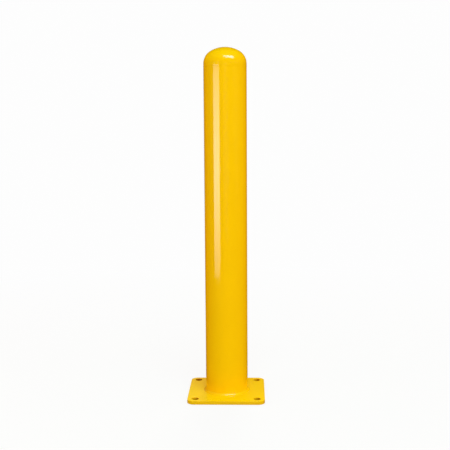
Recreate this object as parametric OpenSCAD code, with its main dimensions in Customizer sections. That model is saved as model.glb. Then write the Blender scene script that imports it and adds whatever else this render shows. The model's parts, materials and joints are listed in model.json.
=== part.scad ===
// Bolt-down safety bollard: a steel pipe post with a welded domed cap, standing on a
// square base plate with four anchor holes. Millimetres, +Z up. The origin is the
// middle of the plate's underside, on the post's axis, and the plate's sides lie
// along X and Y.

/* [Post] */
// Outside diameter of the post pipe and of the cap that closes it
post_d = 114.3; // [100:0.1:150]
// Wall thickness of the post pipe
post_wall = 6; // [4:0.5:12]
// Length of the post pipe, from the base plate up to the cap's seam
post_length = 880; // [300:5:1500]

/* [Domed cap] */
// Outside radius of the cap's wide crown
crown_r = 76.2; // [62:0.1:150]
// Outside radius of the shoulder that rounds the crown into the collar
shoulder_r = 38.1; // [20:0.1:50]
// Height of the cap's straight collar, from the seam up to the shoulder
collar_h = 5; // [5:0.5:60]
// Wall thickness of the cap
cap_wall = 6; // [4:0.5:12]

/* [Base plate] */
// Width of the square base plate
plate_w = 207; // [160:1:400]
// Thickness of the base plate
plate_t = 9.5; // [5:0.5:30]
// Radius of the plate's four corners
corner_r = 19; // [4:0.5:40]
// Radius that softens the plate's upper and lower edges
plate_edge_r = 0.5; // [0.3:0.1:2]

/* [Anchor holes] */
// Diameter of the four anchor holes
hole_d = 19; // [8:0.5:24]
// Distance from a hole's centre to each of the plate's two nearest sides
hole_inset = 21; // [15:0.5:35]

/* [Welds] */
// Leg length of the fillet weld around the foot of the post
foot_weld_leg = 6; // [3:0.5:10]
// How far the middle of the foot weld's hollow face lies in from a flat face
foot_weld_hollow = 0.6; // [0.1:0.1:0.8]
// Width of the flat inner rims on which the pipe and the cap meet
seam_root = 2; // [0.5:0.5:3]
// Opening angle of the V groove that the cap weld fills
groove_angle = 60; // [40:5:80]

/* [Hidden] */

post_r = post_d / 2;
seam_z = plate_t + post_length;
shoulder_z = seam_z + collar_h;

// The crown's arc is tangent to the shoulder's arc. Both centres lie on one line, which
// leans from the axis by lean_angle and crosses both arcs where they meet.
shoulder_x = post_r - shoulder_r;
crown_drop = sqrt(pow(crown_r - shoulder_r, 2) - pow(shoulder_x, 2));
lean_angle = atan2(shoulder_x, crown_drop);

// The groove reaches in from the outside as far as the root rims
groove_depth = min(post_wall, cap_wall) - seam_root;
groove_half = groove_depth * tan(groove_angle / 2);

// The foot weld's face is an arc through its two toes, with its centre outside the weld
foot_weld_chord = foot_weld_leg * sqrt(2);
foot_weld_face_r = pow(foot_weld_chord, 2) / (8 * foot_weld_hollow) + foot_weld_hollow / 2;
foot_weld_face_c = foot_weld_leg / 2 + (foot_weld_face_r - foot_weld_hollow) / sqrt(2);

corner_c = plate_w / 2 - corner_r;
hole_c = plate_w / 2 - hole_inset;
safety_yellow = [0.97, 0.76, 0.02];
round_fn = 96;

// Bar section in the plate's thickness, with its four long edges softened
module edge_section(width) {
    flat_w = width - 2 * plate_edge_r;
    flat_t = plate_t - 2 * plate_edge_r;
    translate([-flat_w / 2, 0]) square([flat_w, plate_t]);
    translate([-width / 2, plate_edge_r]) square([width, flat_t]);
    for (x = [-flat_w / 2, flat_w / 2], y = [plate_edge_r, plate_t - plate_edge_r])
        translate([x, y]) circle(r = plate_edge_r, $fn = 32);
}

// One long bar of the plate, square at its ends, along Y
module plate_bar() {
    rotate([90, 0, 0])
        linear_extrude(height = 2 * corner_c, center = true) edge_section(plate_w);
}

// One quarter-round corner of the plate, set between the two bars
module plate_corner() {
    translate([corner_c, corner_c, 0])
        rotate_extrude(angle = 90, $fn = round_fn)
            intersection() {
                edge_section(2 * corner_r);
                square([corner_r, plate_t]);
            }
}

module base_plate() {
    color(safety_yellow)
        difference() {
            union() {
                plate_bar();
                rotate([0, 0, 90]) plate_bar();
                for (quarter = [0:3]) rotate([0, 0, 90 * quarter]) plate_corner();
            }
            for (x = [-hole_c, hole_c], y = [-hole_c, hole_c])
                translate([x, y, -1]) cylinder(d = hole_d, h = plate_t + 2, $fn = round_fn);
        }
}

// Section of the V groove at the seam, with its point at the root rims
module groove_section() {
    polygon([
        [post_r - groove_depth, seam_z],
        [post_r, seam_z - groove_half],
        [post_r, seam_z + groove_half],
    ]);
}

// Straight pipe, bevelled outside at its top for the cap weld
module post_tube() {
    color(safety_yellow)
        rotate_extrude($fn = round_fn)
            difference() {
                translate([post_r - post_wall, plate_t]) square([post_wall, post_length]);
                groove_section();
            }
}

// Right half of the dome's outline above the shoulder line, drawn inset from the outside
module dome_half(inset) {
    intersection() {
        union() {
            // The crown, as far as the leaning line
            intersection() {
                translate([0, -crown_drop]) circle(r = crown_r - inset, $fn = round_fn);
                polygon([
                    [0, -crown_drop],
                    [2 * crown_r * sin(lean_angle), 2 * crown_r * cos(lean_angle) - crown_drop],
                    [0, 2 * crown_r - crown_drop],
                ]);
            }
            // The shoulder, whose inner part lies within the crown
            translate([shoulder_x, 0]) circle(r = shoulder_r - inset, $fn = round_fn);
        }
        square([post_r, crown_r]);
    }
}

// Pressed cap: a dome over a short straight collar, bevelled outside at its lower rim
module dome_cap() {
    color(safety_yellow)
        rotate_extrude($fn = round_fn) {
            translate([0, shoulder_z])
                difference() {
                    dome_half(0);
                    dome_half(cap_wall);
                }
            difference() {
                translate([post_r - cap_wall, seam_z]) square([cap_wall, collar_h]);
                groove_section();
            }
        }
}

// Fillet weld around the foot of the post, laid on the plate and against the pipe. Its
// section is the corner that the face's circle leaves of a square.
module foot_weld() {
    color(safety_yellow)
        translate([0, 0, plate_t])
            rotate_extrude($fn = round_fn)
                translate([post_r, 0])
                    difference() {
                        square(foot_weld_face_c);
                        translate([foot_weld_face_c, foot_weld_face_c])
                            circle(r = foot_weld_face_r, $fn = 4 * round_fn);
                    }
}

// Weld that fills the seam's groove, ground flush with the pipe
module cap_weld() {
    color(safety_yellow)
        rotate_extrude($fn = round_fn) groove_section();
}

base_plate();
post_tube();
foot_weld();
dome_cap();
cap_weld();
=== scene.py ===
"""A bolt-down safety bollard under glossy yellow powder coat, on a plain pale floor."""
import json
import math

import bmesh
import bpy
from mathutils import Matrix, Quaternion, Vector, noise


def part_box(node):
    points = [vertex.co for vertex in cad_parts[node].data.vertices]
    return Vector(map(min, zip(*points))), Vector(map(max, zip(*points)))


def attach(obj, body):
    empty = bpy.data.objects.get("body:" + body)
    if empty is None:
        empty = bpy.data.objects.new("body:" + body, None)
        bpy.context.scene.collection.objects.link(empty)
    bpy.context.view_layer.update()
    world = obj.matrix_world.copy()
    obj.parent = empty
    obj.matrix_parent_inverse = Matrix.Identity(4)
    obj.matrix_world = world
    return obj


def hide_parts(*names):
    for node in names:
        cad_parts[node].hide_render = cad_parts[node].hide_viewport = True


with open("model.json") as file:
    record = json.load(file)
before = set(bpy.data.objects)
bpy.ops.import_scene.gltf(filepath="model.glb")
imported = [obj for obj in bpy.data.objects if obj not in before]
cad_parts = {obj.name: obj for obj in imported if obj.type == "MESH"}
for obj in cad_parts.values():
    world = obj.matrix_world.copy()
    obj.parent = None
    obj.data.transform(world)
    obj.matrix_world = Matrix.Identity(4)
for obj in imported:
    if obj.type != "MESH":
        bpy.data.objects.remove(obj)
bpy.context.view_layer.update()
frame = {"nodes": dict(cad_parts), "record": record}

MM = 0.001

# The coat: its colour, a lighter copy of it painted on the flat plate as the light that falls there, the
# deeper tone it has where it lies thin, which also paints shade, its roughness, and how much rougher it is
# where it is thinnest
SAFETY_YELLOW = (0.985, 0.585, 0.001, 1)
# Painted light: a lighter copy of the yellow, given to the flat plate for the light that falls on its top
PLATE_PAINTED_LIGHT_YELLOW = (0.990, 0.650, 0.001, 1)
# the deep tone of thin coat, which the tone also blends to wherever shade is painted
THIN_AND_SHADED_YELLOW = (0.500, 0.170, 0.0004, 1)
COAT_ROUGHNESS = 0.08
THIN_COAT_ROUGHER = 0.12

# The coat's skin: how dense its waves of flow are against its fine peel, and how high
FLOW_DENSITY = 0.17
FLOW_HEIGHT = 4.0

# How thin the plate's coat lies on its edges and on the rims of its holes, the painted shade on its outer
# wall and in its bores, and how much deeper that painted shade lies along the plate's back than along its
# front
EDGE_THINNING = 0.22
RIM_THINNING = 0.20
WALL_PAINTED_SHADE = 0.22
BORE_PAINTED_SHADE = 1.0
PLATE_BACK_PAINTED_SHADE = 0.145

# Sizes taken from the solids that the visual pieces dress or stand for
PLATE_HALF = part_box("base_plate")[1].x
PLATE_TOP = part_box("base_plate")[1].z
POST_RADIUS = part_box("post_tube")[1].x
BEAD_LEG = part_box("foot_weld")[1].z - PLATE_TOP
SEAM_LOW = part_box("cap_weld")[0].z
SEAM_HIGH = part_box("cap_weld")[1].z
SEAM_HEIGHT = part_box("dome_cap")[0].z

ANCHORS = next(m for m in frame["record"]["mounts"] if m["name"] == "anchor_holes")
HOLE_RADIUS = ANCHORS["dims"]["hole_r_mm"] * MM
HOLE_CENTRE = ANCHORS["dims"]["spacing_x_mm"] * MM / 2

# The plate: its corners, and the soft rims of its edges and holes
CORNER_RADIUS = 19.0 * MM
EDGE_RADIUS = 0.5 * MM

# The foot weld: its ripples, how far each one bows, and how finely its face is made
BEAD_RIPPLES = 112
BEAD_RIPPLE_STEPS = 8
BEAD_FACE_STEPS = 16
BEAD_RIPPLE_HEIGHT = 0.14 * MM
BEAD_CRESCENT = 2.4

# How deep the foot weld's face is hollow, and how much its hollow and its leg waver round the post
BEAD_HOLLOW = 0.60 * MM
BEAD_HOLLOW_WAVER = 0.10 * MM
BEAD_LEG_WAVER = 0.035
BEAD_LEG_QUICK_WAVER = 0.02

# Where the foot weld's end laps over its start, and how much it widens and fills the bead there
BEAD_LAP_TURN = 0.31
BEAD_LAP_WIDTH = 0.018
BEAD_LAP_WIDENS = 0.05
BEAD_LAP_FILLS = 0.45 * MM

# The pressed cap: its arcs, its collar and wall, the flat rim it meets the pipe on, and how finely
# it is turned
CROWN_RADIUS = 76.2 * MM
SHOULDER_RADIUS = 38.1 * MM
COLLAR_HEIGHT = 5.0 * MM
CAP_WALL = 6.0 * MM
SEAM_ROOT = 2.0 * MM
DOME_STEP = math.radians(2)
DOME_COLUMNS = 160

# The ground seam: how far its dressed band reaches past the weld, and the swell that grinding leaves
SEAM_REACH = 1.6
SEAM_SWELL = 0.05 * MM
SEAM_SWELL_WAVER = 0.03 * MM
SEAM_COLUMNS = 240
SEAM_FACE_STEPS = 12

# How far the hidden faces of a weld reach into the steel it is laid on
WELD_SINK = 0.3 * MM

# The direction the painted light comes from, how much it lightens the painted shade on the side of each bore
# that faces it, the painted shade on the far side of the foot weld, and how high up the post that painted
# shade goes
PAINTED_LIGHT_FROM = Vector((0.8, -0.6))
BORE_LIT_SIDE_LIFT = 0.7
FOOT_PAINTED_SHADE = 0.50
FOOT_PAINTED_SHADE_TOP = PLATE_TOP + 75 * MM


def add(tree, kind, inputs=(), **settings):
    """One node. inputs pairs a socket's name or number with its value or with the socket that feeds it."""
    made = tree.nodes.new(kind)
    for name, value in settings.items():
        setattr(made, name, value)
    for socket, value in dict(inputs).items():
        if isinstance(value, bpy.types.NodeSocket):
            tree.links.new(value, made.inputs[socket])
        else:
            made.inputs[socket].default_value = value
    return made


def calc(tree, operation, first, second=0.0):
    return add(tree, "ShaderNodeMath", {0: first, 1: second}, operation=operation).outputs[0]


def blend_colours(tree, share, first, second):
    """first where share is 0 and second where it is 1."""
    mix = add(tree, "ShaderNodeMix", {0: share, 6: first, 7: second}, data_type="RGBA")
    return mix.outputs[2]


def noise_share(tree, place, scale, low, high, most):
    """Noise between its values low and high, spread over 0 to most."""
    grain = add(tree, "ShaderNodeTexNoise", {"Vector": place, "Scale": scale, "Detail": 2.0})
    spread = add(tree, "ShaderNodeMapRange", {
        "Value": grain.outputs[0], "From Min": low, "From Max": high, "To Max": most,
    })
    return spread.outputs[0]


def new_group(name, inputs, outputs):
    """An empty shader group. inputs pairs a socket's name with its type and value, outputs with its type."""
    group = bpy.data.node_groups.new(name, "ShaderNodeTree")
    for socket, (kind, value) in inputs.items():
        group.interface.new_socket(socket, in_out="INPUT", socket_type=kind).default_value = value
    for socket, kind in outputs.items():
        group.interface.new_socket(socket, in_out="OUTPUT", socket_type=kind)
    return group, group.nodes.new("NodeGroupInput").outputs, group.nodes.new("NodeGroupOutput").inputs


def make_orange_peel():
    """Height in metres of the coat's skin: a fine peel that rides on long, low waves of flow."""
    group, given, out = new_group(
        "orange_peel",
        {"Peel Size": ("NodeSocketFloat", 2.6 * MM), "Peel Height": ("NodeSocketFloat", 0.004 * MM)},
        {"Height": "NodeSocketFloat"},
    )
    place = add(group, "ShaderNodeTexCoord").outputs["Object"]
    peel_scale = calc(group, "DIVIDE", 1.0, given["Peel Size"])
    flow_scale = calc(group, "MULTIPLY", peel_scale, FLOW_DENSITY)
    peel = add(group, "ShaderNodeTexNoise", {"Vector": place, "Scale": peel_scale, "Detail": 1.0})
    flow = add(group, "ShaderNodeTexNoise", {"Vector": place, "Scale": flow_scale, "Detail": 1.0})
    waves = calc(group, "MULTIPLY", flow.outputs[0], FLOW_HEIGHT)
    skin = calc(group, "ADD", peel.outputs[0], waves)
    group.links.new(calc(group, "MULTIPLY", skin, given["Peel Height"]), out["Height"])
    return group


def painted_shade_at_foot(tree, place):
    """Painted shade: up to 1 low on the post, on the side turned away from the painted light, and 0 higher
    up.
    """
    level = add(tree, "ShaderNodeVectorMath", {0: place, 1: (1, 1, 0)}, operation="MULTIPLY")
    outward = add(tree, "ShaderNodeVectorMath", {0: level.outputs[0]}, operation="NORMALIZE")
    towards = add(tree, "ShaderNodeVectorMath", {0: outward.outputs[0], 1: (*PAINTED_LIGHT_FROM, 0)},
                  operation="DOT_PRODUCT")
    turned_away = add(tree, "ShaderNodeMapRange", {
        "Value": towards.outputs["Value"], "From Min": 1.0, "From Max": -1.0,
    })
    height = add(tree, "ShaderNodeSeparateXYZ", {0: place}).outputs["Z"]
    lowness = add(tree, "ShaderNodeMapRange", {
        "Value": height, "From Min": FOOT_PAINTED_SHADE_TOP, "From Max": PLATE_TOP + BEAD_LEG,
    })
    squared = calc(tree, "POWER", turned_away.outputs[0], 2.0)
    return calc(tree, "MULTIPLY", squared, lowness.outputs[0])


def make_coat_tone():
    """Colour and roughness of the coat, which drift with its thickness, carry a fine mottle, and deepen
    towards the thin tone where the coat lies thin and where shade is painted in.
    """
    group, given, out = new_group(
        "coat_tone",
        {"Main Tone": ("NodeSocketColor", SAFETY_YELLOW), "Thinness And Shade": ("NodeSocketFloat", 0.0),
         "Foot Painted Shade": ("NodeSocketFloat", 0.0), "Roughness": ("NodeSocketFloat", COAT_ROUGHNESS)},
        {"Color": "NodeSocketColor", "Roughness": "NodeSocketFloat"},
    )
    place = add(group, "ShaderNodeTexCoord").outputs["Object"]
    drift = noise_share(group, place, scale=9.0, low=0.35, high=0.75, most=0.05)
    mottle = noise_share(group, place, scale=260.0, low=0.40, high=0.70, most=0.03)
    # painted shade low on the post and its weld, on the side turned away from the painted light
    foot = calc(group, "MULTIPLY", painted_shade_at_foot(group, place), given["Foot Painted Shade"])
    thinness_and_shade = calc(group, "ADD", foot, given["Thinness And Shade"])
    share = calc(group, "ADD", calc(group, "ADD", drift, mottle), thinness_and_shade)
    # blends towards the deep tone, both for thin coat and for painted shade
    colour = blend_colours(group, share, given["Main Tone"], THIN_AND_SHADED_YELLOW)
    satin = calc(group, "MULTIPLY", share, THIN_COAT_ROUGHER)
    group.links.new(colour, out["Color"])
    group.links.new(calc(group, "ADD", given["Roughness"], satin), out["Roughness"])
    return group


def coat_material(name, peel_size, peel_height, roughness, gloss=0.5, main_tone=SAFETY_YELLOW,
                  thin_and_shade_from_mesh=False, foot_painted_shade=0.0):
    """Powder coat with its own peel and gloss. thin_and_shade_from_mesh makes the tone follow the piece's
    own mesh values, which hold both how thin its coat lies and the shade painted on it.
    """
    material = bpy.data.materials.new(name)
    material.use_nodes = True
    tree = material.node_tree
    shader = tree.nodes["Principled BSDF"]
    skin = add(tree, "ShaderNodeGroup", node_tree=ORANGE_PEEL)
    skin.inputs["Peel Size"].default_value = peel_size
    skin.inputs["Peel Height"].default_value = peel_height
    tone = add(tree, "ShaderNodeGroup", node_tree=COAT_TONE)
    tone.inputs["Main Tone"].default_value = main_tone
    tone.inputs["Roughness"].default_value = roughness
    tone.inputs["Foot Painted Shade"].default_value = foot_painted_shade
    if thin_and_shade_from_mesh:
        thin_and_shade_values = add(tree, "ShaderNodeAttribute", attribute_name="coat_thinness_and_shade")
        tree.links.new(thin_and_shade_values.outputs["Fac"], tone.inputs["Thinness And Shade"])
    bump = add(tree, "ShaderNodeBump", {"Distance": 1.0, "Height": skin.outputs["Height"]})
    tree.links.new(tone.outputs["Color"], shader.inputs["Base Color"])
    tree.links.new(tone.outputs["Roughness"], shader.inputs["Roughness"])
    tree.links.new(bump.outputs["Normal"], shader.inputs["Normal"])
    shader.inputs["IOR"].default_value = 1.5
    shader.inputs["Specular IOR Level"].default_value = gloss
    return material


def coat_node(node, material):
    """Gives a solid that keeps its own shape its finish."""
    piece = frame["nodes"][node]
    for slot in piece.material_slots:
        slot.material = material


def new_piece(name, mesh_in_work, material, node):
    """A piece of the bollard that stands for the solid called node."""
    mesh = bpy.data.meshes.new(name)
    mesh_in_work.normal_update()
    mesh_in_work.to_mesh(mesh)
    mesh_in_work.free()
    mesh.shade_smooth()
    mesh.materials.append(material)
    piece = bpy.data.objects.new(name, mesh)
    bpy.context.scene.collection.objects.link(piece)
    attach(piece, "root")
    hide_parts(node)


def rounded_square(half, radius, height, arc_steps=20):
    """Points round a square with rounded corners, anticlockwise from above."""
    centre = half - radius
    points = []
    for quarter in range(4):
        for step in range(arc_steps + 1):
            angle = (quarter + step / arc_steps) * math.pi / 2
            sign_x, sign_y = ((1, 1), (-1, 1), (-1, -1), (1, -1))[quarter]
            points.append(Vector((sign_x * centre + radius * math.cos(angle),
                                  sign_y * centre + radius * math.sin(angle), height)))
    return points


def circle(centre, radius, height, steps=72):
    """Points round a circle, anticlockwise from above."""
    angles = [step / steps * math.tau for step in range(steps)]
    return [Vector((centre[0] + radius * math.cos(a), centre[1] + radius * math.sin(a), height))
            for a in angles]


def wall_profile(edge_thinning, wall_painted_shade, arc_steps=5):
    """Down a wall of the plate from its top face to its underside: how far each line lies in from the
    wall, its height, and how thin the coat is there on the rounded edge together with the painted shade
    on the flat wall. The first and last lines lie within the flats."""
    flat_margin = 0.6 * MM
    lines = [(EDGE_RADIUS + flat_margin, PLATE_TOP, 0.0)]
    for step in range(arc_steps + 1):
        angle = step / arc_steps * math.pi / 2
        # thin coat on the rounded edge, plus painted shade on the flat wall
        thinness_and_shade = edge_thinning * math.sin(2 * angle) + wall_painted_shade * math.sin(angle) ** 2
        lines.append((EDGE_RADIUS * (1 - math.sin(angle)),
                      PLATE_TOP - EDGE_RADIUS * (1 - math.cos(angle)),
                      thinness_and_shade))
    lines += [(inset, PLATE_TOP - height, thinness_and_shade) for inset, height, thinness_and_shade in reversed(lines)]
    return lines


def loft(work, rings, closed=False):
    """Faces between each ring of points and the next. Returns the rings' vertices."""
    made = [[work.verts.new(point) for point in ring] for ring in rings]
    pairs = list(zip(made, made[1:] + made[:1] if closed else made[1:]))
    for upper, lower in pairs:
        for here in range(len(upper)):
            after = (here + 1) % len(upper)
            work.faces.new((upper[here], lower[here], lower[after], upper[after]))
    return made


def base_plate(material):
    """The plate, with the soft rims that the coat gives its edges and its drilled holes, and the painted
    shade on its walls, in its bores and towards its back.
    """
    work = bmesh.new()
    # per-vertex values: how thin the coat lies on edges and rims, and painted shade on walls, bores and
    # towards the back
    thin_and_shade_values = work.verts.layers.float.new("coat_thinness_and_shade")
    walls = [outer_wall(work, thin_and_shade_values)]
    for x in (-HOLE_CENTRE, HOLE_CENTRE):
        for y in (-HOLE_CENTRE, HOLE_CENTRE):
            walls.append(bore_wall(work, thin_and_shade_values, x, y))
    for end in (0, -1):
        borders = [edge for rings in walls for edge in ring_edges(rings[end])]
        bmesh.ops.triangle_fill(work, use_beauty=True, edges=borders)
    bmesh.ops.recalc_face_normals(work, faces=work.faces)
    new_piece("base_plate_coated", work, material, "base_plate")


def outer_wall(work, thin_and_shade_values):
    """The plate's own wall, from its top face round its softened edges to its underside, with painted shade
    on the wall and deepening towards the back.
    """
    lines = wall_profile(EDGE_THINNING, WALL_PAINTED_SHADE)
    rings = loft(work, [rounded_square(PLATE_HALF - inset, CORNER_RADIUS - inset, height)
                        for inset, height, thinness_and_shade in lines])
    for ring, (inset, height, thinness_and_shade) in zip(rings, lines):
        for vertex in ring:
            # thin coat and painted shade of the wall, plus the painted shade that deepens towards the
            # plate's back
            vertex[thin_and_shade_values] = thinness_and_shade + painted_shade_towards_back(vertex)
    return rings


def bore_wall(work, thin_and_shade_values, x, y):
    """The wall of the anchor hole at x, y, with painted shade in the bore, lightened on the side that faces
    the painted light, and left full in the hole that lies in the post's painted shadow.
    """
    lines = wall_profile(RIM_THINNING, BORE_PAINTED_SHADE)
    rings = loft(work, [list(reversed(circle((x, y), HOLE_RADIUS + inset, height)))
                        for inset, height, thinness_and_shade in lines])
    # the hole in the post's painted shadow keeps its bore dark all round
    lit_side_lift = 0.0 if in_post_painted_shadow(x, y) else BORE_LIT_SIDE_LIFT
    for ring, (inset, height, thinness_and_shade) in zip(rings, lines):
        for vertex in ring:
            # painted shade in the bore, lighter on the wall that faces the painted light
            outward = (vertex.co.xy - Vector((x, y))).normalized()
            facing_light = max(0.0, -outward.dot(PAINTED_LIGHT_FROM))
            vertex[thin_and_shade_values] = thinness_and_shade * (1 - lit_side_lift * facing_light) + painted_shade_towards_back(vertex)
    return rings


def painted_shade_towards_back(vertex):
    """Painted shade: how much darker the coat is painted here than along the plate's front."""
    return PLATE_BACK_PAINTED_SHADE * (vertex.co.y / PLATE_HALF + 1) / 2


def in_post_painted_shadow(x, y):
    """Whether this place on the plate lies in the post's painted shadow, cast away from the painted light.
    """
    place = Vector((x, y))
    along = place.dot(PAINTED_LIGHT_FROM)
    across = (place - along * PAINTED_LIGHT_FROM).length
    return along < 0 and across < POST_RADIUS


def ring_edges(ring):
    """The edges that join a ring's vertices."""
    inside = set(ring)
    return {edge for vertex in ring for edge in vertex.link_edges
            if edge.other_vert(vertex) in inside}


def bead_section(turn):
    """The bead's outline at one place round the post, as how far it stands out from the post and up
    from the plate. turn runs from 0 to 1 once round."""
    angle = turn * math.tau
    round_place = Vector((math.cos(angle), math.sin(angle), 0.0))
    slow = noise.noise(round_place * 2.3)
    quick = noise.noise(round_place * 9.0 + Vector((0, 0, 5.0)))
    lap = math.exp(-((turn - BEAD_LAP_TURN) / BEAD_LAP_WIDTH) ** 2)
    leg = BEAD_LEG * (1 + BEAD_LEG_WAVER * slow + BEAD_LEG_QUICK_WAVER * quick + BEAD_LAP_WIDENS * lap)
    crown = -BEAD_HOLLOW + BEAD_HOLLOW_WAVER * slow + BEAD_LAP_FILLS * lap
    ripple_phase = turn * BEAD_RIPPLES * math.tau + 1.1 * slow
    points = []
    for step in range(BEAD_FACE_STEPS + 1):
        across = step / BEAD_FACE_STEPS
        crescent = BEAD_CRESCENT * (2 * across - 1) ** 2
        ripple = 0.5 + 0.5 * math.cos(ripple_phase + crescent)
        swell = math.sin(math.pi * across)
        rise = crown * swell + BEAD_RIPPLE_HEIGHT * (1 + 0.4 * quick) * ripple * swell
        points.append((leg * (1 - across) + rise * math.sqrt(0.5),
                       leg * across + rise * math.sqrt(0.5)))
    return points


def foot_bead(material):
    """The fillet weld round the post's foot, with soft ripples under the coat and one lapped end."""
    work = bmesh.new()
    turns = BEAD_RIPPLES * BEAD_RIPPLE_STEPS
    rings = []
    for step in range(turns):
        turn = step / turns
        section = bead_section(turn)
        section = [(section[0][0], -WELD_SINK)] + section + [(-WELD_SINK, section[-1][1]),
                                                              (-WELD_SINK, -WELD_SINK)]
        angle = turn * math.tau
        rings.append([Vector(((POST_RADIUS + out) * math.cos(angle),
                              (POST_RADIUS + out) * math.sin(angle), PLATE_TOP + up))
                      for out, up in section])
    loft(work, rings, closed=True)
    bmesh.ops.recalc_face_normals(work, faces=work.faces)
    new_piece("foot_weld_bead", work, material, "foot_weld")


def dome_arcs(inset):
    """The dome's outline from the top of its collar up to the crown, drawn inset from the outside, as
    how far each point lies out from the axis and how high. The middle point itself is left out."""
    shoulder_x = POST_RADIUS - SHOULDER_RADIUS
    shoulder_z = SEAM_HEIGHT + COLLAR_HEIGHT
    drop = math.sqrt((CROWN_RADIUS - SHOULDER_RADIUS) ** 2 - shoulder_x ** 2)
    lean = math.atan2(shoulder_x, drop)
    points = []
    shoulder_steps = round((math.pi / 2 - lean) / DOME_STEP)
    for step in range(shoulder_steps + 1):
        angle = step / shoulder_steps * (math.pi / 2 - lean)
        points.append((shoulder_x + (SHOULDER_RADIUS - inset) * math.cos(angle),
                       shoulder_z + (SHOULDER_RADIUS - inset) * math.sin(angle)))
    crown_steps = round(lean / DOME_STEP)
    for step in range(1, crown_steps):
        angle = lean * (1 - step / crown_steps)
        points.append(((CROWN_RADIUS - inset) * math.sin(angle),
                       shoulder_z - drop + (CROWN_RADIUS - inset) * math.cos(angle)))
    return points, shoulder_z - drop + CROWN_RADIUS - inset


def dome_cap(material):
    """The pressed cap, turned finely so that its mirror images stay clean, with its hollow inside."""
    work = bmesh.new()
    outside, outside_top = dome_arcs(0)
    inside, inside_top = dome_arcs(CAP_WALL)
    inner = POST_RADIUS - CAP_WALL
    root = inner + SEAM_ROOT
    lip = 0.3 * MM
    rim = [(inner, SEAM_HEIGHT + lip), (inner, SEAM_HEIGHT), (root, SEAM_HEIGHT),
           (POST_RADIUS, SEAM_HIGH), (POST_RADIUS, SEAM_HIGH + lip)]
    rings = [circle((0, 0), out, height, DOME_COLUMNS)
             for out, height in list(reversed(inside)) + rim + outside]
    made = loft(work, rings)
    for ring, top in ((made[0], inside_top), (made[-1], outside_top)):
        pole = work.verts.new((0, 0, top))
        for here, after in zip(ring, ring[1:] + ring[:1]):
            work.faces.new((here, after, pole))
    bmesh.ops.recalc_face_normals(work, faces=work.faces)
    new_piece("dome_cap_coated", work, material, "dome_cap")


def cap_seam(material):
    """The ground weld under the cap: all but flush, with the faint swell that grinding leaves."""
    work = bmesh.new()
    half = (SEAM_HIGH - SEAM_LOW) / 2 * SEAM_REACH
    rings = []
    for step in range(SEAM_COLUMNS):
        angle = step / SEAM_COLUMNS * math.tau
        round_place = Vector((math.cos(angle), math.sin(angle), 3.0))
        swell = SEAM_SWELL + SEAM_SWELL_WAVER * noise.noise(round_place * 3.0)
        ring = []
        for line in range(SEAM_FACE_STEPS + 1):
            up = 2 * line / SEAM_FACE_STEPS - 1
            out = POST_RADIUS + swell * math.cos(up * math.pi / 2) ** 2
            ring.append(Vector((out * math.cos(angle), out * math.sin(angle), SEAM_HEIGHT + up * half)))
        for height in (SEAM_HEIGHT + half, SEAM_HEIGHT - half):
            inner = POST_RADIUS - WELD_SINK
            ring.append(Vector((inner * math.cos(angle), inner * math.sin(angle), height)))
        rings.append(ring)
    loft(work, rings, closed=True)
    bmesh.ops.recalc_face_normals(work, faces=work.faces)
    new_piece("cap_weld_ground", work, material, "cap_weld")


# The studio

# How white the surroundings look, and how strongly they light the bollard
WHITE_SEEN = 0.985
SKY_LIGHT = 0.50
SKY_TONE = (1.0, 0.92, 0.85, 1)
WHITE = (1, 1, 1, 1)
PLAIN_GLOW = (1.0, 1.0, 1.0)
COOL_GLOW = (0.62, 1.0, 1.0)
WARM_GLOW = (1.0, 0.75, 0.60)
AMBER_GLOW = (1.0, 0.30, 0.10)
LILAC_GLOW = (0.75, 0.52, 1.0)
# What the coat mirrors behind the bollard: the warm colour the cloth glows with there, a painted glow
# standing for cloth lit by warm light, and its strength
REAR_CLOTH_GLOW = (1.0, 0.30, 0.0, 1)
REAR_GLOW_STRENGTH = 0.32
# The floor: how much of its white the lamps give, which is what its shadow dims, how strongly they
# light it, what it throws back, and where it turns from the shaded white into the plain one
FLOOR_SHADED_SHARE = 0.12
FLOOR_LIGHT = 1.2
FLOOR_BOUNCE = 0.30
FLOOR_PLAIN_FROM = 0.5
FLOOR_PLAIN_AT = 2.0
FLOOR_RADIUS = 30.0

# The black tent: the hole in its ground cloth, and the size of its walls and roof
TENT_CLEARING = 0.02
TENT_GROUND = 0.0005
TENT_RADIUS = 3.2
TENT_WALL = 2.2
TENT_ROOF = 1.2
TENT_COLUMNS = 64
TENT_ROOF_STEPS = 12


def rays_that_see(tree):
    """1 for the rays that look at the set, straight or through gloss and glass, and 0 for its light."""
    path = add(tree, "ShaderNodeLightPath").outputs
    looks = calc(tree, "MAXIMUM", path["Is Camera Ray"], path["Is Glossy Ray"])
    return calc(tree, "MAXIMUM", looks, path["Is Transmission Ray"])


def white_surroundings():
    world = bpy.data.worlds.new("white_surroundings")
    world.use_nodes = True
    tree = world.node_tree
    background = tree.nodes["Background"]
    seen = rays_that_see(tree)
    gain = calc(tree, "MULTIPLY", seen, WHITE_SEEN - SKY_LIGHT)
    tree.links.new(calc(tree, "ADD", gain, SKY_LIGHT), background.inputs["Strength"])
    tree.links.new(blend_colours(tree, seen, SKY_TONE, WHITE), background.inputs["Color"])
    bpy.context.scene.world = world


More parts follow.
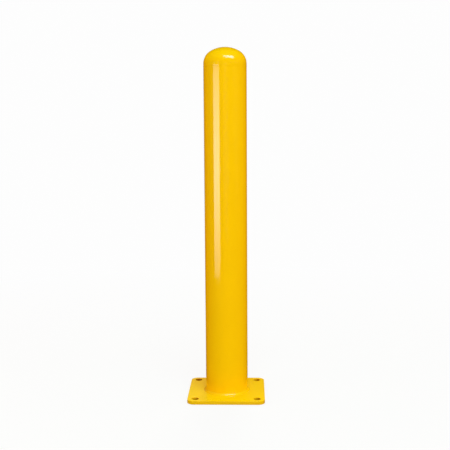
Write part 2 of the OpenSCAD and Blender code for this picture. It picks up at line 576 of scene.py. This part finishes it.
def pale_floor():
    """A wide floor that looks white, keeps the bollard's soft shadow and throws little light back."""
    mesh = bpy.data.meshes.new("pale_floor")
    work = bmesh.new()
    bmesh.ops.create_circle(work, cap_ends=True, segments=64, radius=FLOOR_RADIUS)
    work.to_mesh(mesh)
    work.free()
    floor = bpy.data.objects.new("pale_floor", mesh)
    bpy.context.scene.collection.objects.link(floor)
    material = bpy.data.materials.new("pale_floor")
    material.use_nodes = True
    tree = material.node_tree
    tree.nodes.remove(tree.nodes["Principled BSDF"])
    shade = (FLOOR_SHADED_SHARE,) * 3 + (1,)
    rest = WHITE_SEEN - FLOOR_SHADED_SHARE * FLOOR_LIGHT
    near = add(tree, "ShaderNodeAddShader", {
        0: add(tree, "ShaderNodeBsdfDiffuse", {"Color": shade}).outputs[0],
        1: add(tree, "ShaderNodeEmission", {"Strength": rest}).outputs[0],
    })
    far = add(tree, "ShaderNodeEmission", {"Strength": WHITE_SEEN})
    place = add(tree, "ShaderNodeTexCoord").outputs["Object"]
    distance = add(tree, "ShaderNodeVectorMath", {0: place}, operation="LENGTH").outputs["Value"]
    farness = add(tree, "ShaderNodeMapRange", {
        "Value": distance, "From Min": FLOOR_PLAIN_FROM, "From Max": FLOOR_PLAIN_AT,
    })
    seen = add(tree, "ShaderNodeMixShader", {
        0: farness.outputs[0], 1: near.outputs[0], 2: far.outputs[0],
    })
    bounce = add(tree, "ShaderNodeBsdfDiffuse", {"Color": (FLOOR_BOUNCE,) * 3 + (1,)})
    mix = add(tree, "ShaderNodeMixShader", {
        0: rays_that_see(tree), 1: bounce.outputs[0], 2: seen.outputs[0],
    })
    tree.links.new(mix.outputs[0], tree.nodes["Material Output"].inputs["Surface"])
    mesh.materials.append(material)


def for_gloss_only(piece):
    """The set piece is mirrored in gloss and neither seen nor lights or shades anything."""
    piece.visible_camera = False
    piece.visible_diffuse = False
    piece.visible_transmission = False
    piece.visible_volume_scatter = False
    piece.visible_shadow = False


def black_tent():
    """Black cloth under, round and over the set, which the coat mirrors, so its rims stay deep. Behind
    the bollard the cloth glows warm, a painted glow that stands for warm light falling on it."""
    profile = [(TENT_CLEARING, TENT_GROUND), (TENT_RADIUS, TENT_GROUND), (TENT_RADIUS, TENT_WALL)]
    for step in range(1, TENT_ROOF_STEPS + 1):
        angle = step / TENT_ROOF_STEPS * math.pi / 2
        profile.append((TENT_RADIUS * math.cos(angle) + MM, TENT_WALL + TENT_ROOF * math.sin(angle)))
    work = bmesh.new()
    loft(work, [circle((0, 0), out, up, TENT_COLUMNS) for out, up in profile])
    mesh = bpy.data.meshes.new("black_tent")
    work.to_mesh(mesh)
    work.free()
    tent = bpy.data.objects.new("black_tent", mesh)
    bpy.context.scene.collection.objects.link(tent)
    cloth = bpy.data.materials.new("black_cloth")
    cloth.use_nodes = True
    tree = cloth.node_tree
    tree.nodes.remove(tree.nodes["Principled BSDF"])
    place = add(tree, "ShaderNodeTexCoord").outputs["Object"]
    behind = add(tree, "ShaderNodeSeparateXYZ", {0: place}).outputs["Y"]
    share = add(tree, "ShaderNodeMapRange", {
        "Value": behind, "From Min": 0.0, "From Max": 0.6, "To Max": REAR_GLOW_STRENGTH,
    })
    # painted glow: the cloth behind the bollard glows warm rather than being lit
    glow = add(tree, "ShaderNodeEmission", {"Color": REAR_CLOTH_GLOW, "Strength": share.outputs[0]})
    tree.links.new(glow.outputs[0], tree.nodes["Material Output"].inputs["Surface"])
    mesh.materials.append(cloth)
    for_gloss_only(tent)


def aim(piece, place, target, roll=0.0):
    """Puts a light or a box at place with its face turned to target, rolled by roll degrees."""
    piece.location = place
    piece.rotation_mode = "QUATERNION"
    facing = (Vector(target) - Vector(place)).to_track_quat("-Z", "Y")
    piece.rotation_quaternion = facing @ Quaternion((0, 0, 1), math.radians(roll))


def around(azimuth, distance, height):
    """A place round the bollard. Azimuth 0 is in front, and it grows to the right."""
    angle = math.radians(azimuth)
    return Vector((distance * math.sin(angle), -distance * math.cos(angle), height))


def aimed_at(height):
    """The place on the bollard's axis at this height."""
    return Vector((0, 0, height))


def softbox(name, place, target, size, glow, hot_place=(0, 0), hot_size=(5, 5), roll=0.0,
            colour=PLAIN_GLOW):
    """A box whose face is mirrored in the coat, but not again from one part of the bollard to another.
    It glows most at hot_place, measured right and up from its middle, and fades over hot_size."""
    mesh = bpy.data.meshes.new(name)
    work = bmesh.new()
    bmesh.ops.create_grid(work, x_segments=1, y_segments=1, size=0.5)
    bmesh.ops.scale(work, vec=(*size, 1), verts=work.verts)
    work.to_mesh(mesh)
    work.free()
    box = bpy.data.objects.new(name, mesh)
    bpy.context.scene.collection.objects.link(box)
    aim(box, place, target, roll)
    material = bpy.data.materials.new(name)
    material.use_nodes = True
    tree = material.node_tree
    tree.nodes.remove(tree.nodes["Principled BSDF"])
    face = add(tree, "ShaderNodeTexCoord").outputs["Object"]
    off = add(tree, "ShaderNodeVectorMath", {0: face, 1: (*hot_place, 0)}, operation="SUBTRACT")
    far = add(tree, "ShaderNodeVectorMath", {0: off.outputs[0], 1: (*hot_size, 1)}, operation="DIVIDE")
    squared = add(tree, "ShaderNodeVectorMath", {0: far.outputs[0], 1: far.outputs[0]},
                  operation="DOT_PRODUCT").outputs["Value"]
    share = calc(tree, "POWER", math.e, calc(tree, "MULTIPLY", squared, -1.0))
    depth = add(tree, "ShaderNodeLightPath").outputs["Ray Depth"]
    first_mirror = calc(tree, "LESS_THAN", depth, 1.5)
    strength = calc(tree, "MULTIPLY", share, calc(tree, "MULTIPLY", first_mirror, glow))
    emission = add(tree, "ShaderNodeEmission", {"Color": (*colour, 1), "Strength": strength})
    tree.links.new(emission.outputs[0], tree.nodes["Material Output"].inputs["Surface"])
    mesh.materials.append(material)
    for_gloss_only(box)


def soft_lamp(name, place, target, size, watts, colour):
    """A wide lamp that lights the bollard and isn't mirrored in it."""
    lamp = bpy.data.lights.new(name, "AREA")
    lamp.shape = "DISK"
    lamp.size = size
    lamp.energy = watts
    lamp.color = colour
    holder = bpy.data.objects.new(name, lamp)
    bpy.context.scene.collection.objects.link(holder)
    aim(holder, place, target)
    holder.visible_glossy = False


# The camera, found by fitting the bollard's outline to its photograph

CAMERA_PLACE = (0.06750, -2.19628, 0.72968)
CAMERA_YAW = math.radians(-1.826)
CAMERA_PITCH = math.radians(6.841)
CAMERA_ROLL = math.radians(0.367)
FOCAL_PIXELS = 820.0
FRAME_PIXELS = 450.0


def photo_camera():
    camera = bpy.data.cameras.new("photo_camera")
    camera.sensor_width = 36.0
    camera.lens = FOCAL_PIXELS / FRAME_PIXELS * camera.sensor_width
    camera.clip_start = 0.05
    camera.clip_end = 100.0
    holder = bpy.data.objects.new("photo_camera", camera)
    bpy.context.scene.collection.objects.link(holder)
    holder.matrix_world = (
        Matrix.Translation(CAMERA_PLACE)
        @ Matrix.Rotation(-CAMERA_YAW, 4, "Z")
        @ Matrix.Rotation(math.pi / 2 - CAMERA_PITCH, 4, "X")
        @ Matrix.Rotation(-CAMERA_ROLL, 4, "Z")
    )
    bpy.context.scene.camera = holder


ORANGE_PEEL = make_orange_peel()
COAT_TONE = make_coat_tone()

# The pipe and its weld carry painted shade low on their far side
pipe_coat = coat_material("coat_on_pipe", 2.6 * MM, 0.004 * MM, COAT_ROUGHNESS,
                          foot_painted_shade=FOOT_PAINTED_SHADE)
cap_coat = coat_material("coat_on_cap", 2.4 * MM, 0.0012 * MM, 0.10)
# The plate's coat takes the lighter yellow as painted light, and painted shade from the values on its mesh
plate_coat = coat_material("coat_on_plate", 2.8 * MM, 0.003 * MM, 0.27, gloss=0.25,
                           main_tone=PLATE_PAINTED_LIGHT_YELLOW, thin_and_shade_from_mesh=True)
weld_coat = coat_material("coat_on_weld", 1.8 * MM, 0.004 * MM, 0.13, foot_painted_shade=FOOT_PAINTED_SHADE)

coat_node("post_tube", pipe_coat)
base_plate(plate_coat)
foot_bead(weld_coat)
dome_cap(cap_coat)
cap_seam(pipe_coat)

white_surroundings()
pale_floor()
black_tent()

softbox("strip_box", around(-46.3, 1.5, 0.53), aimed_at(0.53), size=(0.92, 0.93), glow=6.1,
        hot_place=(0, 0.04), hot_size=(5, 0.49))
softbox("top_box", around(26.8, 1.02, 2.01), aimed_at(0.925), size=(1.40, 0.56), glow=14.0,
        hot_place=(0.35, 0.63), hot_size=(1.07, 3.0), roll=-15.3, colour=LILAC_GLOW)
softbox("pale_panel", (-0.85, 2.5, 0.85), (-0.85, 0, 0.85), size=(1.54, 1.3), glow=0.16)

soft_lamp("top_lamp", around(12, 2.5, 5.0), aimed_at(0.3), size=3.0, watts=150, colour=COOL_GLOW)
soft_lamp("front_lamp", around(5, 3.0, 0.6), aimed_at(0.4), size=1.6, watts=25.5, colour=WARM_GLOW)
soft_lamp("right_lamp", around(60, 3.0, 0.9), aimed_at(0.4), size=1.6, watts=22, colour=WARM_GLOW)
soft_lamp("left_lamp", around(-60, 1.5, 0.75), aimed_at(0.7), size=0.9, watts=4, colour=WARM_GLOW)
soft_lamp("left_rim_lamp", around(-115, 2.5, 0.8), aimed_at(0.5), size=1.4, watts=10, colour=AMBER_GLOW)
soft_lamp("right_rim_lamp", around(115, 2.5, 0.8), aimed_at(0.5), size=1.4, watts=6, colour=AMBER_GLOW)
soft_lamp("back_lamp", around(175, 3.0, 2.4), aimed_at(0.4), size=1.6, watts=38, colour=PLAIN_GLOW)

photo_camera()

bpy.context.scene.view_settings.view_transform = "Standard"
